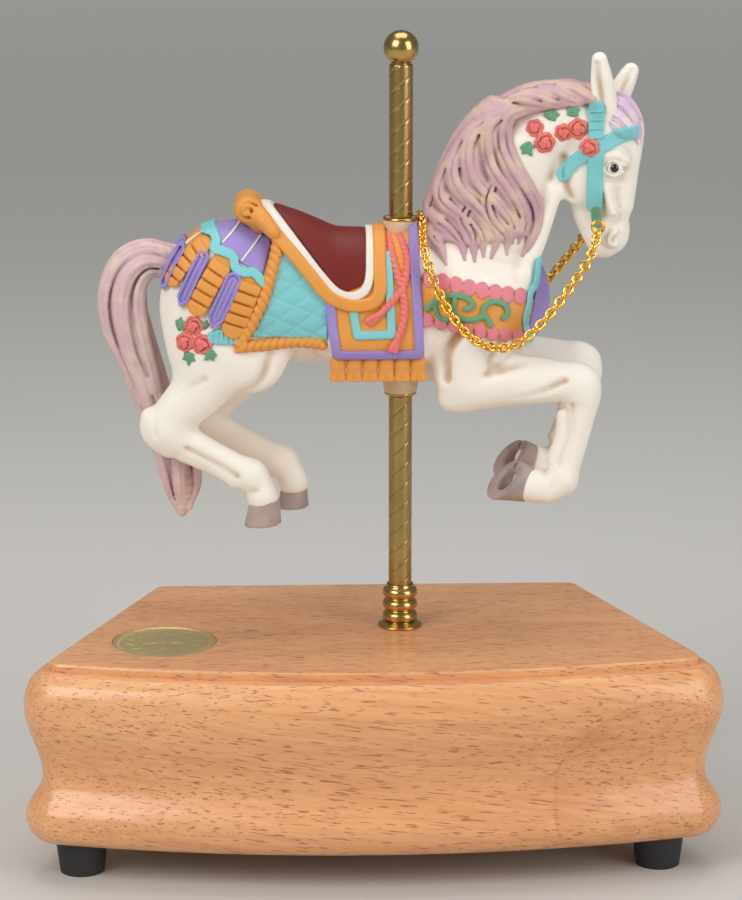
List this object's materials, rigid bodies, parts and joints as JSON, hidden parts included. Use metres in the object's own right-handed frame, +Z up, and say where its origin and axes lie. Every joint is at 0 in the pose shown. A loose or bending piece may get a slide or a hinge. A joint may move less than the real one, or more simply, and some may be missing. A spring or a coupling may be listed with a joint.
{
  "type": "wind-up music box",
  "caption": "Wind-up music box: a painted porcelain carousel horse that rises and falls on a spiral brass pole over a moulded wooden base holding the musical movement.",
  "frame": {"origin": "centre of the footprint box, on the surface that the rubber feet stand on", "axes": "+X the way the horse faces, +Y towards the straight back of the base, +Z up along the pole"},
  "size_m": [0.1884, 0.1004, 0.2245],
  "materials": {
    "wood": "satin lacquer over a medium brown open-pored hardwood",
    "plywood": "bare birch plywood",
    "rubber": "matt moulded rubber",
    "steel": "turned, plain",
    "comb_steel": "ground spring steel",
    "zinc": "zinc plated",
    "cast_base": "painted grey",
    "brass": "lacquered, lightly aged",
    "pole_brass": "tube with a fine rolled spiral line, aged",
    "medal_brass": "embossed and dulled",
    "gilt": "bright gilt",
    "cream_washer": "cream with a gilt rim",
    "porcelain": "bisque, cream with a tan wash in the hollows",
    "mane_paint": "bisque, dusty mauve with a dark wash in the grooves",
    "saddle_paint": "bisque, painted red-brown with an orange rim",
    "blanket_paint": "bisque, painted orange, lavender and turquoise",
    "drape_paint": "bisque, painted lavender, orange and turquoise",
    "collar_paint": "bisque, painted orange with a pink scalloped edge",
    "bridle_paint": "bisque, painted turquoise",
    "rose_paint": "bisque, painted coral roses with green leaves"
  },
  "bodies": {
    "base": {"wooden_base": "wood", "bottom_plate": "plywood", "plate_screws": "steel", "rubber_feet": "rubber", "foot_screws": "steel", "medallion": "medal_brass", "guide_tube": "brass", "pole_collar": "brass", "bedplate": "zinc", "movement_screws": "brass", "comb_base": "cast_base", "comb": "comb_steel", "comb_screws": "brass", "left_bearing": "zinc", "centre_bearing": "zinc", "governor_frame": "zinc", "click_pawl": "steel"},
    "carriage": {"lower_pole_tube": "pole_brass", "upper_pole_tube": "pole_brass", "clamp_rod": "steel", "follower_foot": "steel", "ball_finial": "brass", "belly_washer": "cream_washer", "back_washer": "cream_washer", "horse_body": "porcelain", "horse_head": "porcelain", "near_foreleg": "porcelain", "far_foreleg": "porcelain", "near_hind_leg": "porcelain", "far_hind_leg": "porcelain", "mane": "mane_paint", "tail": "mane_paint", "saddle": "saddle_paint", "saddle_blanket": "blanket_paint", "rump_drape": "drape_paint", "breast_collar": "collar_paint", "bridle": "bridle_paint", "rose_sprays": "rose_paint", "rein_chain": "gilt", "rein_rings": "gilt"},
    "cylinder": {"music_cylinder": "brass", "cylinder_pins": "comb_steel", "cylinder_shaft": "steel", "cylinder_pinion": "brass", "great_wheel": "brass", "lift_cam": "steel"},
    "barrel": {"spring_barrel": "brass", "barrel_lid": "brass", "mainspring": "comb_steel"},
    "winder": {"winding_arbor": "steel", "ratchet_wheel": "steel", "winding_key": "brass"},
    "governor_wheel": {"governor_axle": "steel", "worm_wheel": "brass"},
    "governor_fan": {"fan_shaft": "steel", "air_fan": "zinc"}
  },
  "joints": [
    {"name": "cylinder_turn", "type": "hinge", "parent": "base", "child": "cylinder", "pos_m": [0, 0.001, 0.03], "axis": [1, 0, 0], "range_deg": [0, 180]},
    {"name": "pole_lift", "type": "slide", "parent": "base", "child": "carriage", "axis": [0, 0, 1], "range_m": [0, 0.008]},
    {"name": "barrel_turn", "type": "hinge", "parent": "base", "child": "barrel", "pos_m": [-0.038, 0.001, 0.02], "axis": [0, 0, 1], "range_deg": [0, 57.7]},
    {"name": "governor_wheel_turn", "type": "hinge", "parent": "base", "child": "governor_wheel", "pos_m": [0.02, 0.00722, 0.03742], "axis": [1, 0, 0], "range_deg": [-541, 0]},
    {"name": "governor_fan_turn", "type": "hinge", "parent": "base", "child": "governor_fan", "pos_m": [0.0225, 0.01482, 0.03], "axis": [0, 0, 1], "range_deg": [0, 6482]},
    {"name": "key_turn", "type": "hinge", "parent": "base", "child": "winder", "pos_m": [-0.038, 0.001, 0.01], "axis": [0, 0, 1], "range_deg": [0, 1710]}
  ],
  "couplings": [
    {"joint": "pole_lift", "follows": "cylinder_turn", "m_per_rad": 0.0025464},
    {"joint": "barrel_turn", "follows": "cylinder_turn", "ratio": 0.32},
    {"joint": "governor_wheel_turn", "follows": "cylinder_turn", "ratio": -3},
    {"joint": "governor_fan_turn", "follows": "cylinder_turn", "ratio": 36}
  ]
}
